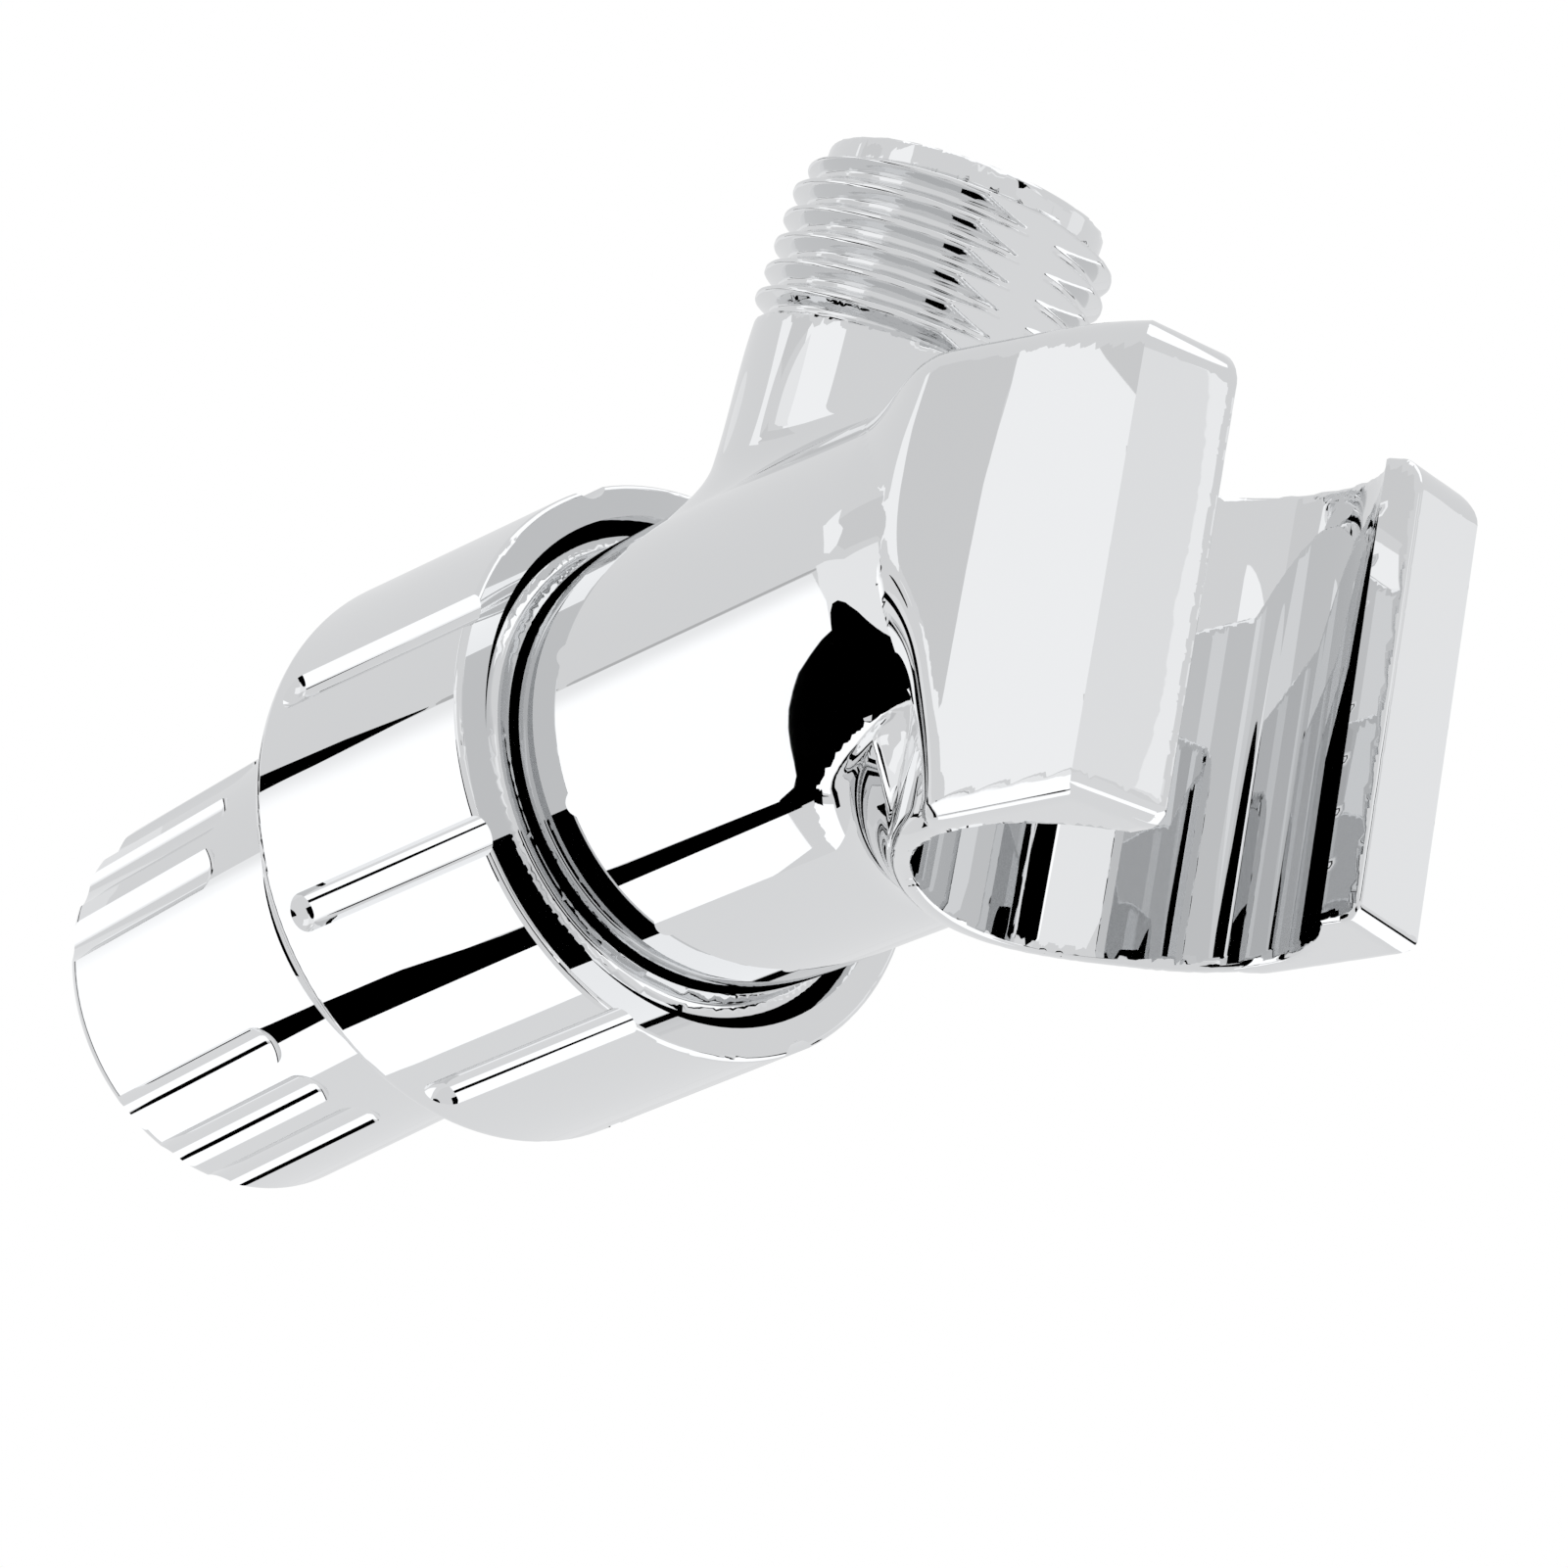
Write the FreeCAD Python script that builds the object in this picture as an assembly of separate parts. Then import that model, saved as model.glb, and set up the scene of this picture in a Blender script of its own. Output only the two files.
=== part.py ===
import FreeCAD, Part
import math
import os

# Shower arm bracket with a ball joint, a male half inch outlet and a slotted hand shower cradle.
# Built in millimetres about the middle of the lock nut's ring face: +X runs along the tube
# towards the cradle, +Z runs towards the outlet. At the end every piece is moved so that the
# origin is the middle of the inlet collar's open end.

V = FreeCAD.Vector
X_AXIS = V(1, 0, 0)
Y_AXIS = V(0, 1, 0)
Z_AXIS = V(0, 0, 1)
CENTRE = V(0, 0, 0)

# Named clearances
RUN_GAP = 0.05
FACE_GAP = 0.05
LOOSE_GAP = 0.30

# Half inch pipe thread, measured over crests and between roots
THREAD_MAJOR_R = 10.4775
THREAD_MINOR_R = 9.316
THREAD_PITCH = 1.814

# Ball joint
NUT_LEN = 21.2
BALL_X = -NUT_LEN + 7.2
BALL_R = 11.5
BALL_WAY_R = 4.5
NECK_R = 6.3
REST_TILT = 4.2

# Lock nut
NUT_FRONT_R = 19.15
NUT_REAR_R = 19.58
NUT_RING_IN_R = 16.99
NUT_WALL = 2.4
NUT_HOLE_R = 10.2
NUT_GROOVES = 8
NUT_GROOVE_ANGLE = 33.5
NUT_GROOVE_R = 1.55
NUT_GROOVE_SINK = 0.75
NUT_GROOVE_START = -19.3

# Tube and threaded flange of the body
TUBE_R = 15.1
TUBE_BORE_R = 11.7
TUBE_BORE_END = 24.5
FLANGE_R = 16.0
FLANGE_REAR = -NUT_LEN + 6.2
FLANGE_FRONT = -3.5
SOCKET_R = 13.6
SLIP_RING_R = 15.3
SOCKET_FRONT = -NUT_LEN + 11.2

# Outlet spout
SPOUT_X = 7.78
SPOUT_LEAN = 22.99
SPOUT_TOP = 36.55
SPOUT_LEAD_R = 9.15
SPOUT_LEAD_LEN = 1.35
SPOUT_THREAD_LEN = 11.0
SPOUT_NECK_R = 9.8
SPOUT_BORE_R = 6.8

# Hand shower cradle
CRADLE_X = 42.0
CRADLE_LEAN = 8.87
CRADLE_BOTTOM = -20.66
CRADLE_ARCH_R = 59.4
CRADLE_ARCH_FORWARD = -4.0
CRADLE_ARCH_UP = -50.0
CRADLE_BORE_LOW_R = 11.6
CRADLE_BORE_HIGH_R = 11.2
CRADLE_BACK_R = 13.04
CRADLE_FRONT_X = 11.9
CRADLE_CORNER_X = 10.4
CRADLE_SIDE_W = 13.7
CRADLE_FLAT_X = 0.2
CRADLE_TOP_EDGE_R = 1.6
CRADLE_FOOT_EDGE_R = 1.0
FLARE_START_X = 27.0
FLARE_R = 8.0
TAPER_START_X = 29.0
SCOOP_X = 28.0
SCOOP_Z = -20.0
SCOOP_HALF_LENGTH = 11.3
SCOOP_HALF_HEIGHT = 19.3
JUNCTION_R = 2.5
SLOT_HALF = 7.45

# Inlet collar, measured along its own axis from the ball's centre
COLLAR_R = 13.9
COLLAR_START = 13.0
COLLAR_END = 36.7
COLLAR_WALL = 3.0
COLLAR_ROOM_R = 10.9
COLLAR_ROOM_END = 24.8
FLUTE_GROUP_ANGLE = 74.0
FLUTE_STEP = 18.0
FLUTE_R = 2.2
FLUTE_SINK = 0.7
FLUTE_START = 20.6

# Tail of the ball, its clip, the washer and the screen
TAIL_END = 20.9
CLIP_GROOVE_R = 5.7
CLIP_R = 8.4
CLIP_START = COLLAR_START + COLLAR_WALL + 0.15
CLIP_THICK = 1.0
WASHER_R = 9.1
WASHER_HOLE_R = 5.6
WASHER_THICK = 2.4
SCREEN_R = 8.8
SCREEN_RIM = 1.3
SCREEN_THICK = 0.5
SCREEN_HOLE_R = 0.55
SCREEN_STEP = 1.7


def cylinder(radius, start, end, axis=X_AXIS, base=CENTRE):
    return Part.makeCylinder(radius, end - start, base + axis * start, axis)


def cone(r_start, r_end, start, end, axis=X_AXIS, base=CENTRE):
    return Part.makeCone(r_start, r_end, end - start, base + axis * start, axis)


def turned(points, axis_start=CENTRE, axis=X_AXIS):
    """Turn a closed outline of (along, radius) points about the X axis."""
    corners = [V(a, 0, r) for a, r in points]
    wire = Part.makePolygon(corners + [corners[0]])
    return Part.Face(wire).revolve(axis_start, axis, 360)


def circle_edges(shape, axis, base, along, radius, tol=0.05):
    """Full circles of one radius, at one distance along an axis."""
    found = []
    for edge in shape.Edges:
        curve = edge.Curve
        if not isinstance(curve, Part.Circle):
            continue
        offset = (curve.Center - base).dot(axis)
        if abs(offset - along) < tol and abs(curve.Radius - radius) < tol:
            found.append(edge)
    return found


def softened(shape, edges, radius, smaller=0.5):
    """Round the edges, and try a smaller radius where the first one can't be made."""
    for size in (radius, radius * smaller, radius * smaller * smaller):
        try:
            result = shape.makeFillet(size, edges)
        except Exception:
            continue
        if result.isValid() and result.Volume > 0:
            return result
    print("left sharp:", len(edges), "edges at", radius)
    return shape


def softened_in_turn(shape, edges, radius):
    """Round as many of the edges as can be made together, the longest first."""
    kept = []
    best = shape
    for edge in sorted(edges, key=lambda e: -e.Length):
        try:
            result = shape.makeFillet(radius, kept + [edge])
        except Exception:
            continue
        if result.isValid() and result.Volume > 0.5 * shape.Volume:
            kept.append(edge)
            best = result
    print("rounded", len(kept), "of", len(edges), "edges at", radius)
    return best


def round_ended(radius, length, start, run):
    """A cylinder with a half ball on its starting end, for cutting a groove."""
    groove = Part.makeCylinder(radius, length, start, run)
    return groove.fuse(Part.makeSphere(radius, start)).removeSplitter()


def make_lock_nut():
    outer = cone(NUT_REAR_R, NUT_FRONT_R, -NUT_LEN, 0.0)
    outer = softened(outer, circle_edges(outer, X_AXIS, CENTRE, -NUT_LEN, NUT_REAR_R), 1.1)
    outer = softened(outer, circle_edges(outer, X_AXIS, CENTRE, 0.0, NUT_FRONT_R), 0.4)
    inner_wall = -NUT_LEN + NUT_WALL
    thread_r = FLANGE_R + RUN_GAP
    ring_r = SLIP_RING_R + RUN_GAP
    hollow = turned([
        (-NUT_LEN - 1, 0), (-NUT_LEN - 1, NUT_HOLE_R), (-NUT_LEN, NUT_HOLE_R),
        (inner_wall, NUT_HOLE_R + 0.6), (inner_wall, ring_r), (FLANGE_REAR - 0.3, ring_r),
        (FLANGE_REAR - 0.3, thread_r), (-3.3, thread_r), (-1.3, NUT_RING_IN_R - 0.35),
        (-1.0, NUT_RING_IN_R - 0.3), (0, NUT_RING_IN_R), (1, NUT_RING_IN_R), (1, 0)])
    nut = outer.cut(hollow)
    for index in range(NUT_GROOVES):
        angle = math.radians(NUT_GROOVE_ANGLE + 360.0 * index / NUT_GROOVES)
        slope = (NUT_REAR_R - NUT_FRONT_R) / NUT_LEN
        out = V(0, math.cos(angle), math.sin(angle))
        mid_r = NUT_FRONT_R - slope * NUT_GROOVE_START + NUT_GROOVE_R - NUT_GROOVE_SINK
        start = V(NUT_GROOVE_START + NUT_GROOVE_R, 0, 0) + out * mid_r
        run = (X_AXIS - out * slope).normalize()
        side = run.cross(out).normalize()
        groove = Part.makeCylinder(NUT_GROOVE_R, NUT_LEN + 2, start, run)
        end_ball = Part.makeSphere(NUT_GROOVE_R, V(0, 0, 0))
        end_ball.Placement = FreeCAD.Placement(start, FreeCAD.Rotation(side, out, run, "ZXY"))
        nut = nut.cut(groove.fuse(end_ball).removeSplitter())
    return nut


def ball_ring(start, end, outer_r):
    """Ring whose inside is the ball's own sphere plus the running clearance."""
    ring = cylinder(outer_r, start, end)
    return ring.cut(Part.makeSphere(BALL_R + RUN_GAP, V(BALL_X, 0, 0)))


def make_slip_ring():
    start = -NUT_LEN + NUT_WALL + FACE_GAP
    return ball_ring(start, FLANGE_REAR - 0.5, SLIP_RING_R)


def make_ball_seal():
    return ball_ring(FLANGE_REAR + 0.2, SOCKET_FRONT - FACE_GAP, SOCKET_R - RUN_GAP)


def spout_axis():
    lean = math.radians(SPOUT_LEAN)
    return V(math.sin(lean), 0, math.cos(lean))


def cradle_axis():
    lean = math.radians(CRADLE_LEAN)
    return V(math.sin(lean), 0, math.cos(lean))


def cradle_point(forward, side, up):
    """A point in the cradle's own frame, as a point of the whole part."""
    lean = math.radians(CRADLE_LEAN)
    ahead = V(math.cos(lean), 0, -math.sin(lean))
    return V(CRADLE_X, 0, 0) + ahead * forward + Y_AXIS * side + cradle_axis() * up


def cradle_prism(plan, low, high):
    corners = [cradle_point(f, s, low) for f, s in plan]
    face = Part.Face(Part.makePolygon(corners + [corners[0]]))
    return face.extrude(cradle_axis() * (high - low))


def smooth_curve(points, first_run, last_run, low):
    """A smooth curve through points of the cradle's plan, with set directions at its ends."""
    curve = Part.BSplineCurve()
    origin = cradle_point(0, 0, 0)
    curve.interpolate([cradle_point(f, s, low) for f, s in points],
                      InitialTangent=cradle_point(first_run[0], first_run[1], 0) - origin,
                      FinalTangent=cradle_point(last_run[0], last_run[1], 0) - origin)
    return curve.toShape()


def make_plan():
    """Prism of the body's outline from above: tube, hood, flat sides and oblique front faces."""
    low = -34.0
    side = [(-17.5, -15.4), (-13.8, -15.3), (-9.4, -15.02), (-6.0, -14.42), (-2.5, -13.82),
            (CRADLE_FLAT_X, -CRADLE_SIDE_W)]
    far_side = [(f, -s) for f, s in reversed(side)]
    near = smooth_curve(side, (1, 0.03), (1, 0), low)
    far = smooth_curve(far_side, (-1, 0), (-1, 0.03), low)
    front = Part.makePolygon([cradle_point(f, s, low) for f, s in [
        side[-1], (CRADLE_CORNER_X, -CRADLE_SIDE_W), (CRADLE_FRONT_X, 1.5 - SLOT_HALF),
        (CRADLE_FRONT_X, SLOT_HALF - 1.5), (CRADLE_CORNER_X, CRADLE_SIDE_W), far_side[0]]])
    rear = Part.makePolygon([cradle_point(f, s, low) for f, s in [
        far_side[-1], (-62.0, 22.0), (-62.0, -22.0), side[0]]])
    face = Part.Face(Part.Wire([near] + front.Edges + [far] + rear.Edges))
    return face.extrude(cradle_axis() * 74)


def make_flare():
    """A trumpet round the tube's axis that opens towards the cradle."""
    bend = math.radians(62)
    rise = V(FLARE_START_X + FLARE_R * math.sin(bend), 0, TUBE_R + FLARE_R * (1 - math.cos(bend)))
    middle = V(FLARE_START_X + FLARE_R * math.sin(bend / 2), 0,
               TUBE_R + FLARE_R * (1 - math.cos(bend / 2)))
    first = V(FLARE_START_X, 0, TUBE_R)
    end_x = CRADLE_X + 24.0
    outer_z = 40.0
    outline = Part.Wire([Part.Arc(first, middle, rise).toShape(),
                         Part.makePolygon([rise, V(rise.x + 3, 0, outer_z), V(end_x, 0, outer_z),
                                           V(end_x, 0, 0), V(FLARE_START_X, 0, 0), first])])
    return Part.Face(outline).revolve(CENTRE, X_AXIS, 360)


def make_hood():
    """Hood and cradle sides: the trumpet inside the outline, scooped out below the tube."""
    hood = make_flare().common(make_plan())
    floor_cut = cradle_prism([(-60, -30), (60, -30), (60, 30), (-60, 30)], -60, CRADLE_BOTTOM)
    oval = Part.Ellipse(V(SCOOP_X, -40, SCOOP_Z + SCOOP_HALF_HEIGHT),
                        V(SCOOP_X + SCOOP_HALF_LENGTH, -40, SCOOP_Z), V(SCOOP_X, -40, SCOOP_Z))
    scoop = Part.Face(Part.Wire([oval.toShape()])).extrude(V(0, 80, 0))
    return hood.common(arch()).cut(floor_cut).cut(scoop)


def make_tube():
    """The tube, a little narrower where it ends inside the hood."""
    narrow = Part.BSplineCurve()
    narrow.interpolate([V(TAPER_START_X, 0, TUBE_R), V(33.0, 0, TUBE_R - 0.5), V(37.0, 0, TUBE_R - 1.5),
                        V(CRADLE_X, 0, TUBE_R - 1.9)],
                       InitialTangent=V(1, 0, 0), FinalTangent=V(1, 0, 0))
    line = Part.makePolygon([V(CRADLE_X, 0, TUBE_R - 1.9), V(CRADLE_X, 0, 0), V(FLANGE_FRONT, 0, 0),
                             V(FLANGE_FRONT, 0, TUBE_R), V(TAPER_START_X, 0, TUBE_R)])
    return Part.Face(Part.Wire([narrow.toShape()] + line.Edges)).revolve(CENTRE, X_AXIS, 360)


def arch():
    """A wide cylinder across the part, whose surface is the arched top of the cradle's sides."""
    return Part.makeCylinder(CRADLE_ARCH_R, 60.0, cradle_point(CRADLE_ARCH_FORWARD, -30, CRADLE_ARCH_UP), Y_AXIS)


def junction_edges(shape):
    """Hollow edges where the tube's lower half meets the cradle."""
    found = []
    for edge in shape.Edges:
        span = edge.LastParameter - edge.FirstParameter
        spots = [edge.valueAt(edge.FirstParameter + span * part) for part in (0.1, 0.5, 0.9)]
        on_tube = max(abs(math.hypot(spot.y, spot.z) - TUBE_R + 0.8) for spot in spots) < 0.9
        if on_tube and min(spot.x for spot in spots) > 22 and max(spot.z for spot in spots) < 0:
            if max(spot.x for spot in spots) - min(spot.x for spot in spots) > 0.3:
                found.append(edge)
    return found


def cradle_heights(edge):
    """Heights of an edge's ends and middle along the cradle's axis, from its bottom face."""
    span = edge.LastParameter - edge.FirstParameter
    spots = [edge.valueAt(edge.FirstParameter + span * part) for part in (0.0, 0.5, 1.0)]
    return [(spot - cradle_point(0, 0, CRADLE_BOTTOM)).dot(cradle_axis()) for spot in spots]


def outer_top_edges(shape):
    """Edges round the top face of the cradle, without those where the tube rises out of it."""
    middle = cradle_point(CRADLE_ARCH_FORWARD, 0, CRADLE_ARCH_UP)
    found = []
    for edge in shape.Edges:
        span = edge.LastParameter - edge.FirstParameter
        spots = [edge.valueAt(edge.FirstParameter + span * part) for part in (0.0, 0.5, 1.0)]
        arms = [math.hypot(spot.x - middle.x, spot.z - middle.z) for spot in spots]
        level = max(abs(arm - CRADLE_ARCH_R) for arm in arms)
        outer = abs(spots[1].y) > 12 or min(spot.x for spot in spots) > CRADLE_X + 5
        if level < 0.02 and outer:
            found.append(edge)
    return found


def foot_edges(shape):
    return [edge for edge in shape.Edges if max(abs(h) for h in cradle_heights(edge)) < 0.02]


def make_outside():
    """Tube, hood and cradle as one block, with their outer edges rounded."""
    back = cylinder(CRADLE_BACK_R, CRADLE_BOTTOM, 4.0, cradle_axis(), V(CRADLE_X, 0, 0))
    front_cut = cradle_prism([(2.0, -30), (40, -30), (40, 30), (2.0, 30)], -40, 40)
    whole = make_hood().fuse([make_tube(), back.cut(front_cut)]).removeSplitter()
    whole = softened_in_turn(whole, junction_edges(whole), JUNCTION_R)
    whole = softened(whole, foot_edges(whole), CRADLE_FOOT_EDGE_R, 0.7)
    whole = softened_in_turn(whole, outer_top_edges(whole), CRADLE_TOP_EDGE_R)
    return whole


def make_body():
    body = make_outside()
    axis = spout_axis()
    base = V(SPOUT_X, 0, 0)
    neck = cylinder(SPOUT_NECK_R, 0, SPOUT_TOP - 2, axis, base)
    body = body.fuse(neck).removeSplitter()
    flange = cylinder(FLANGE_R, FLANGE_REAR, FLANGE_FRONT)
    thread_top = SPOUT_TOP - SPOUT_LEAD_LEN
    thread = cylinder(THREAD_MAJOR_R, thread_top - SPOUT_THREAD_LEN, thread_top, axis, base)
    lead = cylinder(SPOUT_LEAD_R, thread_top - 1, SPOUT_TOP, axis, base)
    body = body.fuse([flange, thread, lead])
    hollow = cylinder(TUBE_BORE_R, SOCKET_FRONT - 0.5, TUBE_BORE_END)
    socket = cylinder(SOCKET_R, FLANGE_REAR - 1, SOCKET_FRONT)
    spout_way = cylinder(SPOUT_BORE_R, 0, SPOUT_TOP + 1, axis, base)
    bore = cone(CRADLE_BORE_LOW_R, CRADLE_BORE_HIGH_R, CRADLE_BOTTOM - 1, 30.0, cradle_axis(),
                V(CRADLE_X, 0, 0))
    slot = cradle_prism([(0, -SLOT_HALF), (30, -SLOT_HALF), (30, SLOT_HALF), (0, SLOT_HALF)],
                        CRADLE_BOTTOM - 1, 30.0)
    return body.cut(hollow).cut(socket).cut(spout_way).cut(bore).cut(slot)


def inlet_axis():
    tilt = math.radians(REST_TILT)
    return V(-math.cos(tilt), 0, -math.sin(tilt))


def inlet_point(along):
    return V(BALL_X, 0, 0) + inlet_axis() * along


def in_line(points):
    """Turn a closed outline of (distance from the ball's centre, radius) about the inlet axis."""
    side = inlet_axis().cross(Y_AXIS).normalize()
    corners = [inlet_point(a) + side * r for a, r in points]
    face = Part.Face(Part.makePolygon(corners + [corners[0]]))
    return face.revolve(V(BALL_X, 0, 0), inlet_axis(), 360)


def make_collar():
    start, end = COLLAR_START, COLLAR_END
    collar = cylinder(COLLAR_R, start, end, inlet_axis(), V(BALL_X, 0, 0))
    collar = softened(collar, circle_edges(collar, inlet_axis(), V(BALL_X, 0, 0), end, COLLAR_R), 1.6)
    collar = softened(collar, circle_edges(collar, inlet_axis(), V(BALL_X, 0, 0), start, COLLAR_R), 0.8)
    wall = start + COLLAR_WALL
    hollow = in_line([(start - 1, 0), (start - 1, NECK_R + RUN_GAP), (wall, NECK_R + RUN_GAP),
                      (wall, COLLAR_ROOM_R), (COLLAR_ROOM_END, COLLAR_ROOM_R),
                      (COLLAR_ROOM_END + 1, THREAD_MINOR_R), (end + 1, THREAD_MINOR_R),
                      (end + 1, 0)])
    collar = collar.cut(hollow)
    up = inlet_axis().cross(Y_AXIS).normalize()
    if up.z < 0:
        up = up * -1
    for group in range(4):
        for step in (-1, 0, 1):
            angle = math.radians(FLUTE_GROUP_ANGLE + 90.0 * group + FLUTE_STEP * step)
            out = Y_AXIS * math.cos(angle) + up * math.sin(angle)
            begin = inlet_point(FLUTE_START) + out * (COLLAR_R + FLUTE_R - FLUTE_SINK)
            collar = collar.cut(round_ended(FLUTE_R, COLLAR_END, begin, inlet_axis()))
    return collar


def make_ball():
    """Ball, neck and tail turned as one outline, with the waterway through it."""
    side = inlet_axis().cross(Y_AXIS).normalize()

    def at(along, radius):
        return inlet_point(along) + side * radius

    mouth_r = BALL_WAY_R + 1.7
    mouth = at(-math.sqrt(BALL_R ** 2 - mouth_r ** 2), mouth_r)
    neck = at(math.sqrt(BALL_R ** 2 - NECK_R ** 2), NECK_R)
    groove_start = CLIP_START - FACE_GAP
    groove_end = CLIP_START + CLIP_THICK + FACE_GAP
    tail = [neck, at(groove_start, NECK_R), at(groove_start, CLIP_GROOVE_R),
            at(groove_end, CLIP_GROOVE_R), at(groove_end, NECK_R), at(TAIL_END, NECK_R),
            at(TAIL_END, BALL_WAY_R), at(2.0 - BALL_R + 1.8, BALL_WAY_R), mouth]
    outline = Part.Wire([Part.Arc(mouth, at(0, BALL_R), neck).toShape()] + Part.makePolygon(tail).Edges)
    return Part.Face(outline).revolve(V(BALL_X, 0, 0), inlet_axis(), 360)


def make_clip():
    begin = CLIP_START
    inner = CLIP_GROOVE_R + FACE_GAP
    ring = in_line([(begin, inner), (begin, CLIP_R), (begin + CLIP_THICK, CLIP_R),
                    (begin + CLIP_THICK, inner)])
    side = inlet_axis().cross(Y_AXIS).normalize()
    corner = inlet_point(begin - 1) - Y_AXIS * 1.5
    width = Part.makePolygon([corner, corner + Y_AXIS * 3, corner + Y_AXIS * 3 + side * 12,
                              corner + side * 12, corner])
    gap = Part.Face(width).extrude(inlet_axis() * (CLIP_THICK + 2))
    return ring.cut(gap)


def make_washer():
    begin = TAIL_END + FACE_GAP
    return in_line([(begin, WASHER_HOLE_R), (begin, WASHER_R), (begin + WASHER_THICK, WASHER_R),
                    (begin + WASHER_THICK, WASHER_HOLE_R)])


def make_screen():
    begin = TAIL_END + FACE_GAP + WASHER_THICK
    disc = cylinder(SCREEN_R, begin, begin + SCREEN_THICK, inlet_axis(), V(BALL_X, 0, 0))
    up = inlet_axis().cross(Y_AXIS).normalize()
    holes = []
    reach = SCREEN_R - SCREEN_RIM - SCREEN_HOLE_R
    for row in range(-5, 6):
        for column in range(-5, 6):
            across = (column + 0.5 * (row % 2)) * SCREEN_STEP
            rise = row * SCREEN_STEP * 0.866
            if math.hypot(across, rise) > reach:
                continue
            middle = inlet_point(begin - 1) + Y_AXIS * across + up * rise
            holes.append(Part.makeCylinder(SCREEN_HOLE_R, SCREEN_THICK + 2, middle, inlet_axis()))
    return disc.cut(Part.makeCompound(holes))


def solid_of(shape):
    """The one solid of a finished piece, with seams inside its faces removed."""
    tidy = shape.removeSplitter()
    solids = tidy.Solids
    if len(solids) != 1:
        print("solids:", len(solids), [round(s.Volume, 2) for s in solids])
    return max(solids, key=lambda s: s.Volume)


PIECES = {
    "bracket_body": make_body,
    "lock_nut": make_lock_nut,
    "inlet_collar": make_collar,
    "swivel_ball": make_ball,
    "tail_clip": make_clip,
    "slip_ring": make_slip_ring,
    "ball_seal": make_ball_seal,
    "inlet_washer": make_washer,
    "inlet_screen": make_screen,
}

os.makedirs("parts", exist_ok=True)
ORIGIN = inlet_point(COLLAR_END)
for name, maker in PIECES.items():
    piece = solid_of(maker())
    piece.translate(ORIGIN * -1)
    piece.exportStep("parts/" + name + ".step")
    box = piece.BoundBox
    print(name, round(piece.Volume, 1), piece.isValid(), [round(v, 1) for v in (
        box.XMin, box.XMax, box.YMin, box.YMax, box.ZMin, box.ZMax)])
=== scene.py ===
import bpy
import math
import numpy as np
from mathutils import Matrix, Vector


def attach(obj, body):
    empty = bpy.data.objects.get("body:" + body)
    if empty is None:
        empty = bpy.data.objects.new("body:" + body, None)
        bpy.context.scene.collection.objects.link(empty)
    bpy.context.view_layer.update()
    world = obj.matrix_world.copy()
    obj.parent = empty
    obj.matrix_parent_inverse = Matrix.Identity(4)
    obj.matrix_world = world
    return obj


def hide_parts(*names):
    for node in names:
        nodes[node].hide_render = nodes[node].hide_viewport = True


# Looks of the shower arm bracket, in metres, in the part's own frame.
# The body's moulding and its thread are two pieces on the body, and every other solid keeps its shape.
# The studio is a white floor, one lamp and a dome of grey card that is seen only as reflections.

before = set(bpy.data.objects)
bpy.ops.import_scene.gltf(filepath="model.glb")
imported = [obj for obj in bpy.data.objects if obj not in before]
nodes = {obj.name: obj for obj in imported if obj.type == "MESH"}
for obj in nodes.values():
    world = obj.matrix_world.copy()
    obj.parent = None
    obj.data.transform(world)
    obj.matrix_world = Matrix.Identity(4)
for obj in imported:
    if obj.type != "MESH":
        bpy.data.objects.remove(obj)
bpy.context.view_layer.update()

# The floor, and the camera as fitted to the edges in the photo

FLOOR_PLACE = (0.05, 0, -0.21)
FLOOR_HALF = 1.5
CAMERA_PLACE = (0.264874, -0.169353, -0.129957)
CAMERA_RIGHT = (0.6627382, 0.7448553, 0.0772569)
CAMERA_DOWN = (-0.2801880, 0.3423189, -0.8968347)
CAMERA_AHEAD = (-0.6944586, 0.5727202, 0.4355673)
CAMERA_LENS = 109.55
CAMERA_SENSOR = 36.0
CAMERA_REACH = (0.01, 20.0)


# Materials

NOISE_MIDDLE = (0.3, 0.7)
CHROME_GRAIN = 160.0
WAVE_SIZE = 55.0
WAVE_HEIGHT = 0.0004
GRAIN_STRENGTH = 0.2
GRAIN_HEIGHT = 0.0001


def new_material(name):
    """A material with one plain shader."""
    material = bpy.data.materials.new(name)
    material.use_nodes = True
    material.node_tree.nodes.clear()
    output = material.node_tree.nodes.new("ShaderNodeOutputMaterial")
    shader = material.node_tree.nodes.new("ShaderNodeBsdfPrincipled")
    material.node_tree.links.new(shader.outputs["BSDF"], output.inputs["Surface"])
    return material, shader


def noise_value(tree, scale, detail, low, high):
    """Noise in the object's own space, brought into a range of values."""
    place = tree.nodes.new("ShaderNodeTexCoord")
    noise = tree.nodes.new("ShaderNodeTexNoise")
    noise.inputs["Scale"].default_value = scale
    noise.inputs["Detail"].default_value = detail
    tree.links.new(place.outputs["Object"], noise.inputs["Vector"])
    spread = tree.nodes.new("ShaderNodeMapRange")
    spread.inputs["From Min"].default_value = NOISE_MIDDLE[0]
    spread.inputs["From Max"].default_value = NOISE_MIDDLE[1]
    spread.inputs["To Min"].default_value = low
    spread.inputs["To Max"].default_value = high
    tree.links.new(noise.outputs["Fac"], spread.inputs["Value"])
    return noise, spread


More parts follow.
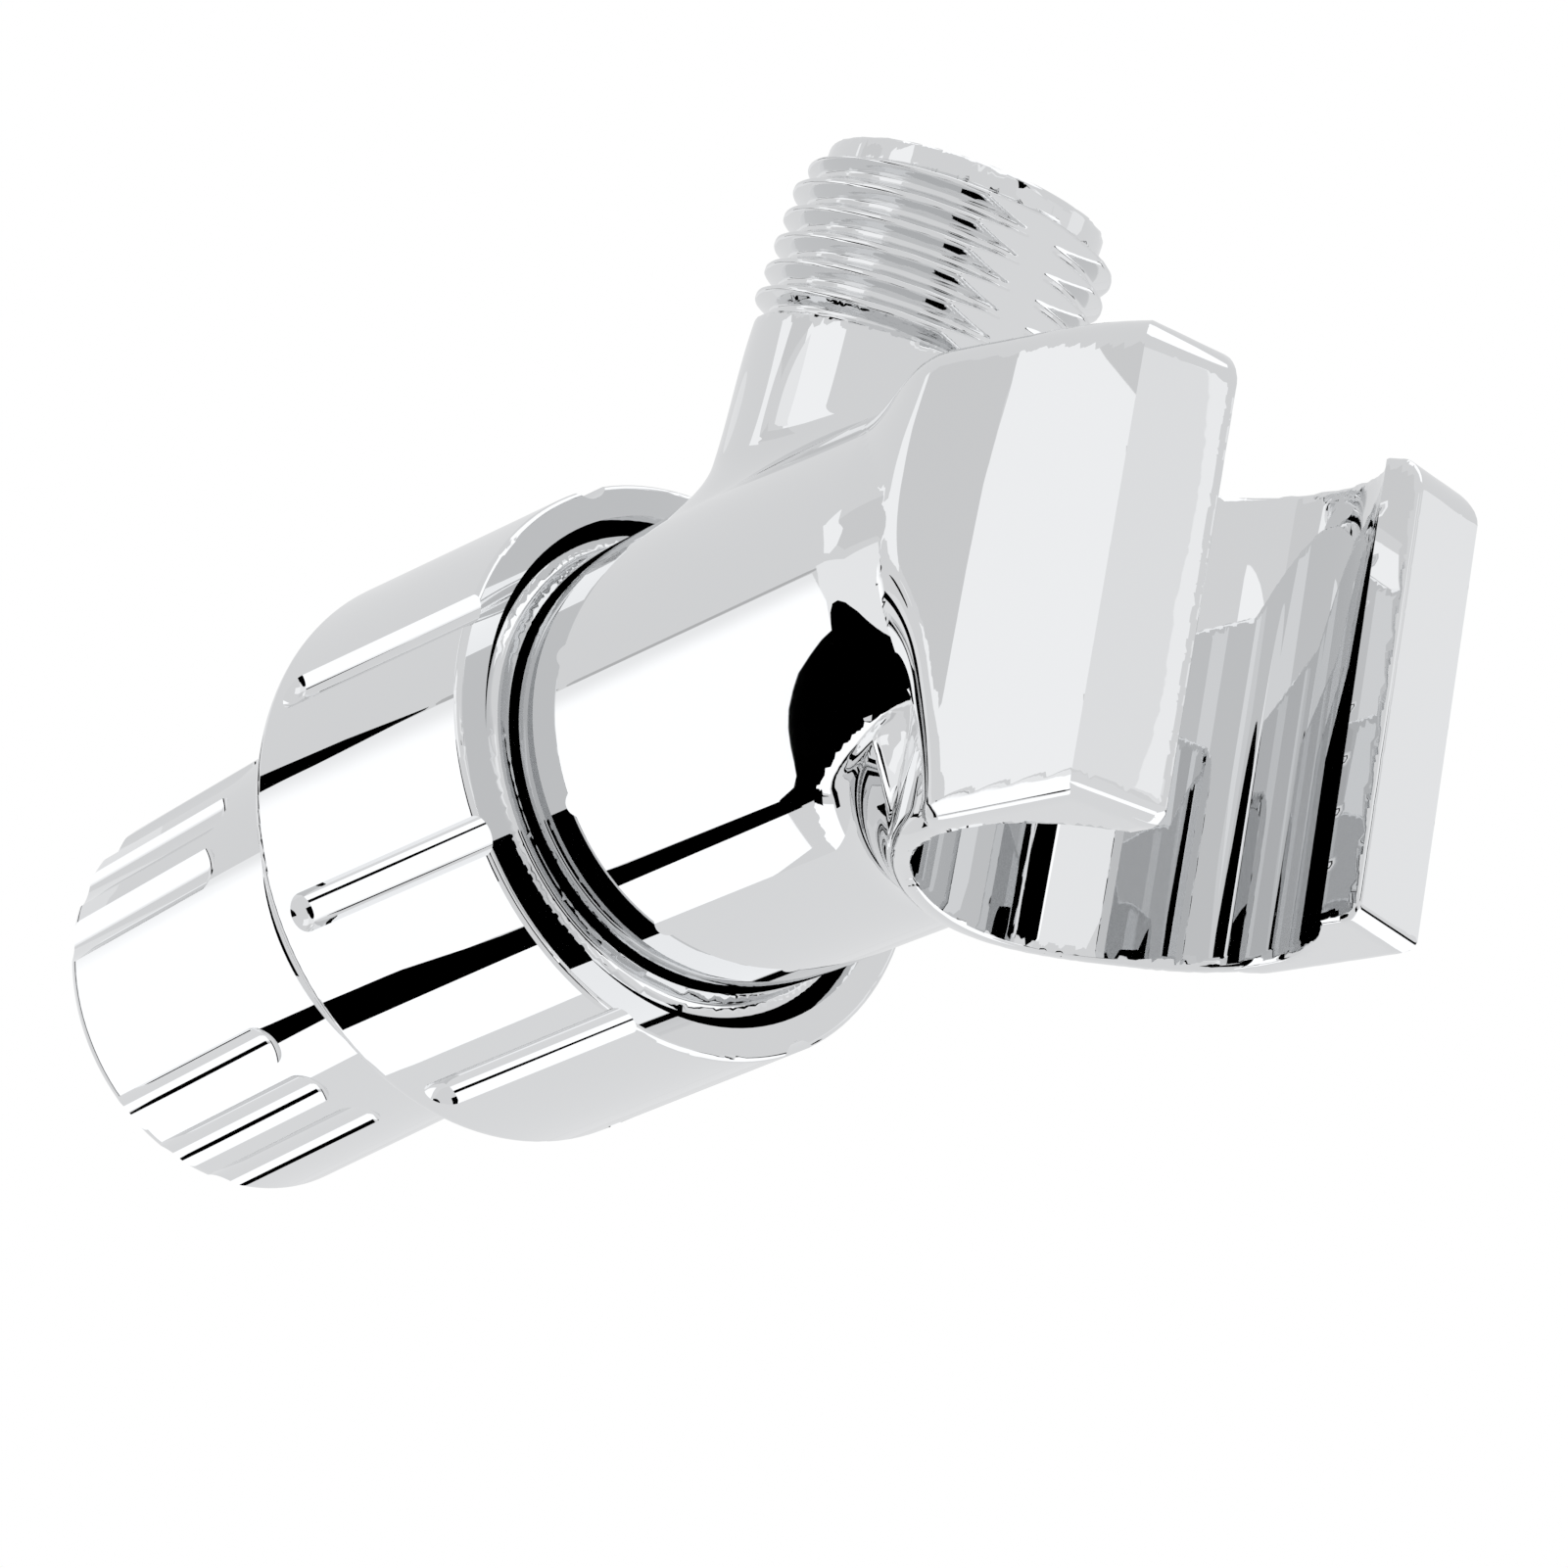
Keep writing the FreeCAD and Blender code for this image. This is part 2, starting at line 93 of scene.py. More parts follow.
def chrome_material(name, colour, rough_low, rough_high, bump):
    """Plated or bare metal, with waves in its surface if bump is more than 0."""
    material, shader = new_material(name)
    tree = material.node_tree
    shader.inputs["Base Color"].default_value = (*colour, 1)
    shader.inputs["Metallic"].default_value = 1.0
    noise, spread = noise_value(tree, CHROME_GRAIN, 3.0, rough_low, rough_high)
    tree.links.new(spread.outputs["Result"], shader.inputs["Roughness"])
    if bump > 0:
        waves, level = noise_value(tree, WAVE_SIZE, 1.0, 0.0, 1.0)
        relief = tree.nodes.new("ShaderNodeBump")
        relief.inputs["Strength"].default_value = bump
        relief.inputs["Distance"].default_value = WAVE_HEIGHT
        tree.links.new(level.outputs["Result"], relief.inputs["Height"])
        tree.links.new(relief.outputs["Normal"], shader.inputs["Normal"])
    return material


def dull_material(name, colour, rough_low, rough_high, scale):
    """Rubber or plastic with a fine grain."""
    material, shader = new_material(name)
    tree = material.node_tree
    shader.inputs["Base Color"].default_value = (*colour, 1)
    noise, spread = noise_value(tree, scale, 4.0, rough_low, rough_high)
    tree.links.new(spread.outputs["Result"], shader.inputs["Roughness"])
    relief = tree.nodes.new("ShaderNodeBump")
    relief.inputs["Strength"].default_value = GRAIN_STRENGTH
    relief.inputs["Distance"].default_value = GRAIN_HEIGHT
    tree.links.new(noise.outputs["Fac"], relief.inputs["Height"])
    tree.links.new(relief.outputs["Normal"], shader.inputs["Normal"])
    return material


CHROME = chrome_material("chrome_plating", (0.80, 0.805, 0.81), 0.004, 0.012, 0.0)
BALL = chrome_material("ball_plating", (0.76, 0.765, 0.77), 0.05, 0.09, 0.02)
STEEL = chrome_material("spring_steel", (0.62, 0.63, 0.65), 0.22, 0.34, 0.1)
RUBBER = dull_material("black_rubber", (0.03, 0.03, 0.032), 0.55, 0.75, 900.0)
ACETAL = dull_material("white_acetal", (0.86, 0.86, 0.84), 0.35, 0.5, 600.0)

LOOKS = {
    "bracket_body": CHROME, "lock_nut": CHROME, "inlet_collar": CHROME, "swivel_ball": BALL,
    "tail_clip": STEEL, "inlet_screen": STEEL, "slip_ring": ACETAL, "ball_seal": RUBBER,
    "inlet_washer": RUBBER}
for name, look in LOOKS.items():
    if not nodes[name].material_slots:
        nodes[name].data.materials.append(look)
    for slot in nodes[name].material_slots:
        slot.material = look


# The body's sizes in millimetres, about the middle of the lock nut's ring face

MM = 0.001
NUT_FACE = (0.050601, 0.0, 0.002688)

# Tube, with the flange that the nut holds

TUBE_R = 15.1
TUBE_END_R = 13.2
TAPER_START_X = 29.0
TUBE_BORE_R = 11.7
TUBE_BORE_END = 24.5
FLANGE_R = 16.0
FLANGE_REAR = -15.0
FLANGE_FRONT = -1.2
FLANGE_FILLET_R = 0.5
SOCKET_R = 13.6
SOCKET_FRONT = -10.0
WAY_OVERLAP = 0.5

# Spout, with the core under its thread

SPOUT_X = 7.78
SPOUT_LEAN = math.radians(22.99)
SPOUT_TOP = 36.55
SPOUT_BORE_R = 6.8
SPOUT_FILLET_R = 2.2
NECK_LOW_R = 9.4
NECK_TOP_R = 10.0
NECK_SWELL_START = 14.0
NECK_END = 24.35
NECK_EDGE_R = 0.25
THREAD_CORE_R = 9.0
CORE_OVERLAP = (1.0, 0.5)
LEAD_START = 35.0
LEAD_R = 9.15
LEAD_EDGE_R = 0.3

# Cradle: its sides, back, sloped front, arched top, tapered bore and slot

CRADLE_X = 42.0
CRADLE_LEAN = math.radians(8.87)
CRADLE_BOTTOM = -20.66
ARCH_R = 59.4
ARCH_FORWARD = -4.0
ARCH_UP = -50.0
ARCH_EDGE_R = 1.8
FLOOR_EDGE_R = 1.1
BACK_R = 13.04
BACK_FRONT = 2.0
BACK_TOP = 4.0
SIDE_W = 13.7
SIDE_SWELL = 1.65
SWELL_RUN = (-14.0, 0.2)
CORNER_X = 10.4
FRONT_RUN = (1.5, -7.75)
BORE_LOW_R = 11.6
BORE_TAPER = 0.4 / 51.66
SLOT_HALF = 7.45
BORE_EDGE_R = 0.35

# Hood, by which the cradle grows out of the tube, with the hollow and the pocket below it

FLARE_X = 27.0
FLARE_R = 8.0
SCOOP_FRONT = 31.8
SCOOP_TOP = -6.2
SCOOP_CORNER_R = 5.0
SCOOP_EDGE_R = 6.0
POCKET_R = 6.5
POCKET_RISE = (-12.6, -9.0)
POCKET_END = (30.5, 34.0)
LEAST_R = 0.01
HOOD_EDGE_R = 4.0

# Grid on which the surface is found

SHELL_STEP = 0.45
SHELL_LOW = (-15.8, -17.0, -22.6)
SHELL_HIGH = (56.6, 17.0, 37.6)
SLOPE_STEP = 0.02
HALVINGS = 9
MIDDLE_PULL = 0.004
CELL_MARGIN = 0.1
CORNER_INSET = 0.3
SHARP_ANGLE = 14


def eased(low, high, value):
    """0 below low, 1 above high and a smooth rise between."""
    part = np.clip((value - low) / (high - low), 0.0, 1.0)
    return part * part * (3.0 - 2.0 * part)


def joined(a, b, radius):
    """Both solids as one, with the hollow edge between them rounded."""
    rounding = np.hypot(np.maximum(radius - a, 0.0), np.maximum(radius - b, 0.0))
    return np.maximum(radius, np.minimum(a, b)) - rounding


def shared(a, b, radius):
    """What lies in both solids, with the outer edge between them rounded."""
    rounding = np.hypot(np.maximum(radius + a, 0.0), np.maximum(radius + b, 0.0))
    return np.minimum(-radius, np.maximum(a, b)) + rounding


def tube_field(x, reach):
    """Distance to the tube with the flange at its rear end."""
    wall = reach - TUBE_R + (TUBE_R - TUBE_END_R) * eased(TAPER_START_X, CRADLE_X, x)
    tube = np.maximum(wall, np.maximum(x - CRADLE_X, FLANGE_REAR - x))
    flange = np.maximum(reach - FLANGE_R, np.maximum(x - FLANGE_FRONT, FLANGE_REAR - x))
    return joined(tube, flange, FLANGE_FILLET_R)


def spout_field(x, y, z):
    """Distances to the spout's neck, thread core and plain lead end, and to its waterway."""
    along = (x - SPOUT_X) * math.sin(SPOUT_LEAN) + z * math.cos(SPOUT_LEAN)
    aside = (x - SPOUT_X) * math.cos(SPOUT_LEAN) - z * math.sin(SPOUT_LEAN)
    radius = np.hypot(aside, y)
    neck_r = NECK_LOW_R + (NECK_TOP_R - NECK_LOW_R) * eased(NECK_SWELL_START, NECK_END, along)
    neck = shared(np.maximum(radius - neck_r, -along), along - NECK_END, NECK_EDGE_R)
    core_ends = np.maximum(along - LEAD_START - CORE_OVERLAP[1], NECK_END - CORE_OVERLAP[0] - along)
    core = np.maximum(radius - THREAD_CORE_R, core_ends)
    lead = np.maximum(radius - LEAD_R, LEAD_START - along)
    lead = shared(lead, along - SPOUT_TOP, LEAD_EDGE_R)
    outer = np.minimum(np.minimum(neck, core), lead)
    way = np.maximum(radius - SPOUT_BORE_R, -along)
    return outer, way


def flare_field(x, reach):
    """The trumpet by which the hood grows out of the tube."""
    curve = FLARE_R - np.hypot(x - FLARE_X, np.maximum(TUBE_R + FLARE_R - reach, 0.0))
    return np.where(x < FLARE_X, reach - TUBE_R, curve)


def scoop_field(x, z):
    """Distance from the hollow below the hood, less than 0 in it."""
    return shared(x - SCOOP_FRONT, z - SCOOP_TOP, SCOOP_CORNER_R)


def cradle_fields(x, y, z, reach):
    """Distances to the hood with the cradle's sides, to its round back, and to its bore with the slot."""
    forward = (x - CRADLE_X) * math.cos(CRADLE_LEAN) - z * math.sin(CRADLE_LEAN)
    up = (x - CRADLE_X) * math.sin(CRADLE_LEAN) + z * math.cos(CRADLE_LEAN)
    half = np.abs(y)
    side = half - SIDE_W - SIDE_SWELL * (1.0 - eased(*SWELL_RUN, forward))
    run = math.hypot(*FRONT_RUN)
    front = ((forward - CORNER_X) * -FRONT_RUN[1] + (half - SIDE_W) * FRONT_RUN[0]) / run
    arch = np.hypot(forward - ARCH_FORWARD, up - ARCH_UP) - ARCH_R
    floor = CRADLE_BOTTOM - up
    hood = shared(side, flare_field(x, reach), HOOD_EDGE_R)
    hood = np.maximum(hood, front)
    hood = shared(hood, -scoop_field(x, z), SCOOP_EDGE_R)
    hood = shared(hood, arch, ARCH_EDGE_R)
    hood = shared(hood, floor, FLOOR_EDGE_R)
    back_ends = np.maximum(forward - BACK_FRONT, up - BACK_TOP)
    back = shared(np.maximum(np.hypot(forward, y) - BACK_R, back_ends), floor, FLOOR_EDGE_R)
    bore = np.hypot(forward, y) - BORE_LOW_R + BORE_TAPER * (up - CRADLE_BOTTOM + 1.0)
    slot = np.maximum(half - SLOT_HALF, -forward)
    return hood, back, np.minimum(bore, slot)


def body_field(points):
    """Distance in millimetres from the body's surface, less than 0 inside it."""
    x, y, z = points[..., 0], points[..., 1], points[..., 2]
    reach = np.hypot(y, z)
    pipe = tube_field(x, reach)
    hood, back, cradle_way = cradle_fields(x, y, z, reach)
    pocket = POCKET_R * (1.0 - eased(*POCKET_RISE, z)) * (1.0 - eased(*POCKET_END, x))
    outer = joined(pipe, np.minimum(hood, back), pocket + LEAST_R)
    spout, spout_way = spout_field(x, y, z)
    outer = joined(outer, spout, SPOUT_FILLET_R)
    hollow_ends = np.maximum(x - TUBE_BORE_END, SOCKET_FRONT - WAY_OVERLAP - x)
    hollow = np.maximum(reach - TUBE_BORE_R, hollow_ends)
    socket = np.maximum(reach - SOCKET_R, x - SOCKET_FRONT)
    ways = np.minimum(np.minimum(hollow, socket), spout_way)
    return shared(np.maximum(outer, -ways), -cradle_way, BORE_EDGE_R)


# The surface of a field, as quads

def slope_of(field, points):
    """Outward unit direction of a field at points."""
    parts = []
    for axis in range(3):
        shift = np.zeros(3)
        shift[axis] = SLOPE_STEP
        parts.append(field(points + shift) - field(points - shift))
    slope = np.stack(parts, axis=-1)
    return slope / np.maximum(np.linalg.norm(slope, axis=-1, keepdims=True), 1e-9)


def crossings(values, axis):
    """Grid edges along an axis where the field changes sign, as the indices of their lower ends."""
    size = values.shape[axis]
    first = np.take(values, np.arange(size - 1), axis)
    last = np.take(values, np.arange(1, size), axis)
    found = np.argwhere((first < 0) != (last < 0))
    keep = np.ones(len(found), bool)
    for other in range(3):
        if other != axis:
            keep &= (found[:, other] > 0) & (found[:, other] < values.shape[other] - 1)
    return found[keep]


def zero_places(field, start, ahead, filled):
    """Where a field is zero on edges that begin at start, found by halving them."""
    near = np.zeros(len(start))
    far = np.ones(len(start))
    for _ in range(HALVINGS):
        middle = (near + far) / 2
        same = (field(start + middle[:, None] * ahead) < 0) == filled
        near, far = np.where(same, middle, near), np.where(same, far, middle)
    return start + ((near + far) / 2)[:, None] * ahead


def cell_points(place, spots, runs):
    """A point for each cell, as close as can be to the planes of the surface at the cell's edges."""
    count = np.bincount(place)
    middle = np.stack([np.bincount(place, spots[:, k]) for k in range(3)], axis=1) / count[:, None]
    offset = np.einsum("ij,ij->i", runs, spots - middle[place])
    matrix = np.empty((len(count), 3, 3))
    right = np.empty((len(count), 3))
    for i in range(3):
        right[:, i] = np.bincount(place, runs[:, i] * offset)
        for j in range(3):
            matrix[:, i, j] = np.bincount(place, runs[:, i] * runs[:, j])
    matrix += MIDDLE_PULL * count[:, None, None] * np.eye(3)
    return middle + np.linalg.solve(matrix, right[..., None])[..., 0]


def surface_of(field, low, high, step):
    """Quads on the zero surface of a field, with a point in each grid cell that the surface passes."""
    counts = [int(round((b - a) / step)) + 1 for a, b in zip(low, high)]
    lines = [a + step * np.arange(n) for a, n in zip(low, counts)]
    values = field(np.stack(np.meshgrid(*lines, indexing="ij"), axis=-1))
    cells = []
    spots = []
    runs = []
    quads = []
    for axis in range(3):
        found = crossings(values, axis)
        start = np.array(low) + step * found
        ahead = np.zeros(3)
        ahead[axis] = step
        filled = field(start) < 0
        hit = zero_places(field, start, ahead, filled)
        run = slope_of(field, hit)
        sides = [other for other in range(3) if other != axis]
        ring = []
        for a, b in ((1, 1), (0, 1), (0, 0), (1, 0)):
            cell = found.copy()
            cell[:, sides[0]] -= a
            cell[:, sides[1]] -= b
            key = (cell[:, 0] * counts[1] + cell[:, 1]) * counts[2] + cell[:, 2]
            ring.append(key)
            cells.append(key)
            spots.append(hit)
            runs.append(run)
        ring = np.stack(ring, axis=1)
        turn = filled if axis != 1 else ~filled
        quads.append(np.where(turn[:, None], ring, ring[:, ::-1]))
    keys, place = np.unique(np.concatenate(cells), return_inverse=True)
    points = cell_points(place, np.concatenate(spots), np.concatenate(runs))
    across = [keys // (counts[1] * counts[2]), keys // counts[2] % counts[1], keys % counts[2]]
    base = np.array(low) + step * np.stack(across, axis=1)
    points = np.clip(points, base - CELL_MARGIN * step, base + (1 + CELL_MARGIN) * step)
    return points, np.searchsorted(keys, np.concatenate(quads))


def corner_directions(field, points, quads):
    """Direction at each corner of each quad: shared on smooth faces and split along sharp edges."""
    at_point = slope_of(field, points)
    centre = points[quads].mean(axis=1, keepdims=True)
    pulled = slope_of(field, points[quads] * (1 - CORNER_INSET) + centre * CORNER_INSET)
    likeness = np.einsum("ijk,ijk->ij", pulled, at_point[quads])
    smooth = likeness > math.cos(math.radians(SHARP_ANGLE))
    return np.where(smooth[..., None], at_point[quads], pulled)


# The body's two pieces

def to_part(points):
    """Places in metres in the part's frame of points in millimetres about the nut's face."""
    return np.asarray(points) * MM + np.array(NUT_FACE)


def new_piece(name, points, faces, directions=None):
    """A chrome piece that belongs to the body, from points in millimetres about the nut's face."""
    mesh = bpy.data.meshes.new(name)
    mesh.from_pydata(to_part(points).tolist(), [], faces)
    mesh.polygons.foreach_set("use_smooth", [True] * len(mesh.polygons))
    if directions is not None:
        mesh.normals_split_custom_set(directions)
    mesh.materials.append(CHROME)
    item = bpy.data.objects.new(name, mesh)
    bpy.context.scene.collection.objects.link(item)
    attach(item, "body")
    return item


def make_shell():
    """The body's moulding as one smooth surface, which stands for the plain solid."""
    points, quads = surface_of(body_field, SHELL_LOW, SHELL_HIGH, SHELL_STEP)
    directions = corner_directions(body_field, points, quads)
    shell = new_piece("body_shell", points, quads.tolist(), directions.reshape(-1, 3).tolist())
    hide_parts("bracket_body")


def spout_point(radius, angle, along):
    """A point of the body at a radius and an angle about the spout, and a height along it."""
    ahead = radius * math.cos(angle)
    x = SPOUT_X + ahead * math.cos(SPOUT_LEAN) + along * math.sin(SPOUT_LEAN)
    z = along * math.cos(SPOUT_LEAN) - ahead * math.sin(SPOUT_LEAN)
    return (x, radius * math.sin(angle), z)


# Outside thread of the spout, in millimetres along it and about its middle line

THREAD_PITCH = 1.814
THREAD_CREST_R = 10.4775
THREAD_ROOT_R = 9.3
THREAD_START = 24.2
THREAD_END = 35.2
THREAD_FIRST_CREST = 34.34
THREAD_FLAT_R = 9.25
THREAD_SINK = 0.3
LEAST_COSINE = 0.2
CREST_SHARE = 0.16
FLANK_SHARE = 0.62
FIRST_FADE = 0.5
LAST_FADE = 0.6
FADE_DEPTH = 0.25
THREAD_TURN_STEPS = 240
THREAD_RISE_STEPS = 130


def thread_radius(angle, along):
    """Radius of the thread at an angle about the spout and a height along it."""
    turn = (along - THREAD_FIRST_CREST) / THREAD_PITCH + angle / (2 * math.pi)
    part = abs(turn - round(turn)) * 2.0
    rise = 1.0 - min(1.0, max(0.0, (part - CREST_SHARE) / FLANK_SHARE))
    crest = THREAD_ROOT_R + (THREAD_CREST_R - THREAD_ROOT_R) * rise
    ends = min(1.0, (along - THREAD_START) / FIRST_FADE, (THREAD_END - along) / LAST_FADE)
    crest = THREAD_ROOT_R - FADE_DEPTH + (crest - THREAD_ROOT_R + FADE_DEPTH) * max(0.0, ends)
    off = (angle + math.pi / 2) % math.pi - math.pi / 2
    return min(crest, THREAD_FLAT_R / max(LEAST_COSINE, math.cos(off)))


def make_thread():
    """The outlet's outside thread, with the flats that the mould's parting line leaves on both sides."""
    points = []
    for row in range(THREAD_RISE_STEPS + 1):
        along = THREAD_START + (THREAD_END - THREAD_START) * row / THREAD_RISE_STEPS
        for column in range(THREAD_TURN_STEPS):
            angle = 2 * math.pi * column / THREAD_TURN_STEPS
            points.append(spout_point(thread_radius(angle, along), angle, along))
    for along in (THREAD_END, THREAD_START):
        for column in range(THREAD_TURN_STEPS):
            angle = 2 * math.pi * column / THREAD_TURN_STEPS
            points.append(spout_point(THREAD_CORE_R - THREAD_SINK, angle, along))
    faces = []
    rows = THREAD_RISE_STEPS + 3
    for row in range(rows):
        first, second = row * THREAD_TURN_STEPS, (row + 1) % rows * THREAD_TURN_STEPS
        for column in range(THREAD_TURN_STEPS):
            following = (column + 1) % THREAD_TURN_STEPS
            faces.append((first + column, first + following, second + following, second + column))
    new_piece("outlet_thread", points, faces)


make_shell()
make_thread()


# The studio's light and floor

WORLD_LIGHT = 0.75
FLOOR_GLOW = 0.6


def seen_ray(tree):
    """1 for camera, glossy and transmission rays, else 0."""
    path = tree.nodes.new("ShaderNodeLightPath")
    first = tree.nodes.new("ShaderNodeMath")
    first.operation = "MAXIMUM"
    tree.links.new(path.outputs["Is Camera Ray"], first.inputs[0])
    tree.links.new(path.outputs["Is Glossy Ray"], first.inputs[1])
    second = tree.nodes.new("ShaderNodeMath")
    second.operation = "MAXIMUM"
    tree.links.new(first.outputs[0], second.inputs[0])
    tree.links.new(path.outputs["Is Transmission Ray"], second.inputs[1])
    return second.outputs[0]


def make_world():
    """A white background, and soft light from all sides."""
    world = bpy.data.worlds.new("studio_world")
    bpy.context.scene.world = world
    world.use_nodes = True
    tree = world.node_tree
    tree.nodes.clear()
    output = tree.nodes.new("ShaderNodeOutputWorld")
    soft = tree.nodes.new("ShaderNodeBackground")
    soft.inputs["Color"].default_value = (1, 1, 1, 1)
    soft.inputs["Strength"].default_value = WORLD_LIGHT
    white = tree.nodes.new("ShaderNodeBackground")
    white.inputs["Color"].default_value = (1, 1, 1, 1)
    white.inputs["Strength"].default_value = 1.0
    mix = tree.nodes.new("ShaderNodeMixShader")
    tree.links.new(seen_ray(tree), mix.inputs["Fac"])
    tree.links.new(soft.outputs[0], mix.inputs[1])
    tree.links.new(white.outputs[0], mix.inputs[2])
    tree.links.new(mix.outputs[0], output.inputs["Surface"])


def make_floor():
    """A pale floor that takes the object's shadow."""
    corners = [(FLOOR_HALF * x, FLOOR_HALF * y, 0) for x, y in ((-1, -1), (1, -1), (1, 1), (-1, 1))]
    mesh = bpy.data.meshes.new("floor")
    mesh.from_pydata(corners, [], [(0, 1, 2, 3)])
    floor = bpy.data.objects.new("floor", mesh)
    bpy.context.scene.collection.objects.link(floor)
    floor.location = FLOOR_PLACE
    material = bpy.data.materials.new("pale_floor")
    material.use_nodes = True
    tree = material.node_tree
    tree.nodes.clear()
    output = tree.nodes.new("ShaderNodeOutputMaterial")
    matte = tree.nodes.new("ShaderNodeBsdfDiffuse")
    matte.inputs["Color"].default_value = (0.9, 0.9, 0.9, 1)
    glow = tree.nodes.new("ShaderNodeEmission")
    glow.inputs["Color"].default_value = (1, 1, 1, 1)
    glow.inputs["Strength"].default_value = 1.0
    share = tree.nodes.new("ShaderNodeMath")
    share.operation = "MULTIPLY"
    share.inputs[1].default_value = FLOOR_GLOW
    tree.links.new(seen_ray(tree), share.inputs[0])
    mix = tree.nodes.new("ShaderNodeMixShader")
    tree.links.new(share.outputs[0], mix.inputs["Fac"])
    tree.links.new(matte.outputs[0], mix.inputs[1])
    tree.links.new(glow.outputs[0], mix.inputs[2])
    tree.links.new(mix.outputs[0], output.inputs["Surface"])
    floor.data.materials.append(material)
    floor.visible_glossy = False


# The studio's dome of grey card, with openings, paler cards and dark flags
# A place on it is an angle from the tube's direction and an angle round the tube, in degrees.

DOME_R = 0.5
TURN_STEP = 0.5
LEAN_STEP = 1.0
FINE_LEAN_STEP = 0.25
FINE_LEANS = (126, 140)
CARD_COLOUR = (0.985, 0.99, 1.0, 1)
CARD_GAIN = 1.194

# Brightness of the card and of the panels on it

GREY = 0.665
PALE_GREY = 0.70
LINE_GREY = 0.45
HOOD_TONE = 0.61
WALL_TONE = 0.74
OBLIQUE_TONE = 0.755
OBLIQUE_LIGHT_TONE = 0.86
FAR_TONE = 0.80
SIDE_LIGHT = 0.89
BAND_LIGHT = 0.82
NECK_LIGHT = 0.91
OPEN = 1.06
DARK = 0.0
SOFT = "soft"
SOFT_LOW = 0.84
SOFT_RISE = 0.22
SOFT_SPAN = (157.0, 168.0)

# Outlines of the panels that the tube's side and the hood reflect

SIDE_WINDOW = [(129.3, 156), (150, 156), (150, 244), (139, 243), (131.2, 247), (129, 247), (129, 182)]
LOW_WINDOW = [(131.3, 253.5), (150, 256), (150, 280), (132.2, 280), (131.3, 274)]
BLACK_LINE = [(131.0, 247), (134.5, 245.8), (136.2, 242.8), (138.2, 242.6), (139.2, 245.7), (147, 246.2),
              (147, 247.0), (139.2, 247.4), (138.2, 255.6), (135.0, 254.6), (131.0, 253.6)]
BLACK_WEDGE = [(134.4, 155.2), (136.2, 152.9), (138.3, 152.0), (138.3, 159.0), (136.6, 157.6)]
GREY_LINE = [(129.2, 154.3), (134.4, 154.5), (134.4, 155.9), (129.2, 155.6)]
BLACK_FLAG = [(129.0, 184), (129.4, 187.5), (129.7, 192), (130.0, 197), (130.2, 203), (130.4, 210),
              (130.55, 218), (130.65, 226), (130.72, 233), (130.8, 239), (130.95, 243.5), (131.3, 246.3),
              (131.6, 253.6), (130.2, 252), (129.6, 240), (129.0, 227), (104, 226), (104, 206), (106.5, 202),
              (110, 195), (115, 185), (119.5, 178.5), (123, 175.5), (126, 175), (128, 178)]
SCOOP_BAND = [(104, 160), (119, 160), (129.2, 153), (129.2, 186), (128, 180), (124, 176), (119, 180),
              (113, 190), (104, 206)]
SIDE_PANEL = [(122.5, 134), (123, 139.2), (122.6, 141), (121.5, 142.9), (120.5, 145), (120.8, 147),
              (122.5, 151), (126, 152), (129, 149), (129, 134)]
NECK_PANEL = [(79.5, 158), (79.5, 184), (107, 184), (107, 157.5), (95, 156)]
WALL_PANEL = [(145, 50), (176, 50), (176, 152), (145, 152)]
HOOD_GREY = [(104, 139), (124, 139), (121.7, 142), (120.5, 145), (120.8, 147), (122.5, 151),
             (119, 156), (104, 158)]

# Outlines of the panels that the cradle, the nut's ring and the flutes reflect

LOW_CARD = [(0, 280), (181, 280), (181, 361), (0, 361)]
EVEN_CARD = [(0, -1), (181, -1), (181, 10), (0, 10)]
FRONT_FLAG = [(2, 26), (14, 26), (12, 40), (9, 100), (2, 100)]
FRONT_WINDOW = [(2, 100), (9, 100), (12, 110), (2, 110)]
FRONT_PANEL = [(2, 110), (12, 110), (18, 140), (35, 150), (35, 166), (10, 166), (2, 140)]
OBLIQUE_PANEL = [(14, 20), (24, 20), (24, 48), (14, 48)]
OBLIQUE_LIGHT = [(17.2, 24), (18.0, 27.8), (18.7, 31.7), (19.3, 35.4), (20.3, 39.6), (21.2, 43.5),
                 (22.2, 48), (24, 48), (24, 24)]
FAR_PANEL = [(52, 6), (68, 6), (68, 26), (52, 26)]
RING_FLAG = [(34, 211), (50, 211), (50, 286), (34, 286)]
RING_WINDOW = [(34, 286), (50, 286), (50, 305), (34, 305)]
TOP_WINDOW = [(35, 62), (95, 62), (95, 108), (35, 108)]
FAR_WINDOW = [(40, 300), (100, 300), (100, 345), (40, 345)]
FAR_FLAG = [(40, 346), (100, 346), (100, 354), (40, 354)]
REAR_FLAG = [(152, 100), (157, 100), (157, 260), (152, 260)]

# Every panel with its brightness; a later one lies over the earlier ones

